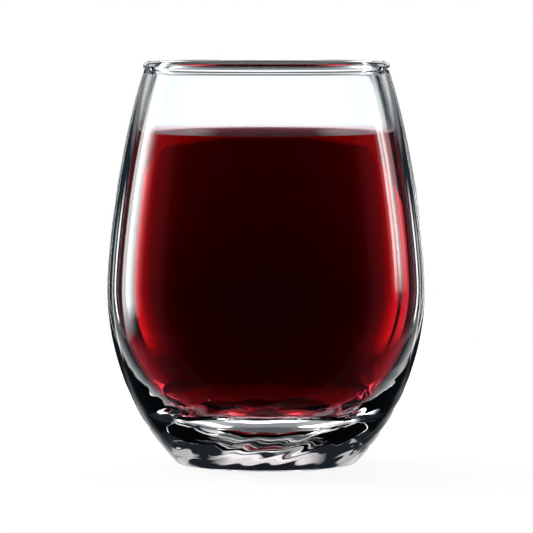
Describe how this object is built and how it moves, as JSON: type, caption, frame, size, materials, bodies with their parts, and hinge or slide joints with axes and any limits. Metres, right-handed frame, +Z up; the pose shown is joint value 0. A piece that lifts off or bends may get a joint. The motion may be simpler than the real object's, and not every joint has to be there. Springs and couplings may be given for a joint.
{
  "type": "glass of red wine",
  "caption": "Stemless glass tumbler with a heavy clear base, holding red wine to a little under its rim.",
  "frame": {"origin": "centre of the foot, on the surface that the glass stands on", "axes": "+Z up the glass's axis, from the foot to the rim; the part is round about it"},
  "size_m": [0.0891, 0.089, 0.112],
  "materials": {
    "clear_glass": "fire-polished clear soda-lime glass",
    "red_wine": "deep red wine, clear at its edges and almost black at the middle"
  },
  "bodies": {
    "root": {"tumbler": "clear_glass", "wine": "red_wine"}
  },
  "joints": []
}
